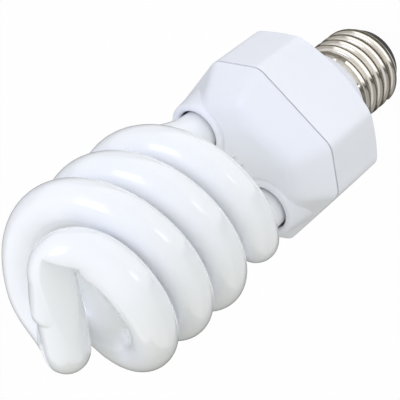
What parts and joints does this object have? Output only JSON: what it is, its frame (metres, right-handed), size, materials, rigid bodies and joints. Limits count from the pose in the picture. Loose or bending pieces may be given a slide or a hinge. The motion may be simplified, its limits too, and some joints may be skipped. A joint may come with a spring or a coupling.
{
  "type": "fluorescent light bulb",
  "caption": "Spiral compact fluorescent lamp: a coated glass tube wound as a double helix on a white ballast housing with cut corners, over a threaded screw cap.",
  "frame": {"origin": "centre of the cap's end contact, on its outer face", "axes": "+Z along the lamp's axis from the cap to the tube's tip; the tube's two legs stand on the X axis"},
  "size_m": [0.0542, 0.0542, 0.146],
  "materials": {
    "coated_glass": "gloss, opaque from the coating inside",
    "white_housing": "satin moulded",
    "plated_shell": "bright nickel plate",
    "black_glass": "gloss",
    "tinned_contact": "tinned",
    "cement": "matt",
    "board_laminate": "matt",
    "can_sleeve": "gloss",
    "ferrite": "matt",
    "bobbin_plastic": "matt",
    "enamelled_copper": "enamelled",
    "film_coating": "dipped",
    "moulded_epoxy": "matt",
    "resistor_coating": "lacquered",
    "tinned_wire": "tinned",
    "wire_sleeve": "matt"
  },
  "bodies": {
    "root": {"glass_tube": "coated_glass", "tube_cover": "white_housing", "base_housing": "white_housing", "screw_shell": "plated_shell", "cap_insulator": "black_glass", "centre_contact": "tinned_contact", "leg_cement": "cement", "circuit_board": "board_laminate", "bulk_capacitor": "can_sleeve", "choke_core": "ferrite", "choke_bobbin": "bobbin_plastic", "choke_winding": "enamelled_copper", "drive_core": "ferrite", "drive_winding": "enamelled_copper", "filter_core": "ferrite", "filter_winding": "enamelled_copper", "resonant_capacitor": "film_coating", "blocking_capacitor": "film_coating", "power_transistors": "moulded_epoxy", "rectifier_diodes": "moulded_epoxy", "trigger_diode": "moulded_epoxy", "resistors": "resistor_coating", "fusible_resistor": "resistor_coating", "wrap_pins": "tinned_wire", "tube_leads": "tinned_wire", "contact_wire": "wire_sleeve", "shell_wire": "wire_sleeve"}
  },
  "joints": []
}
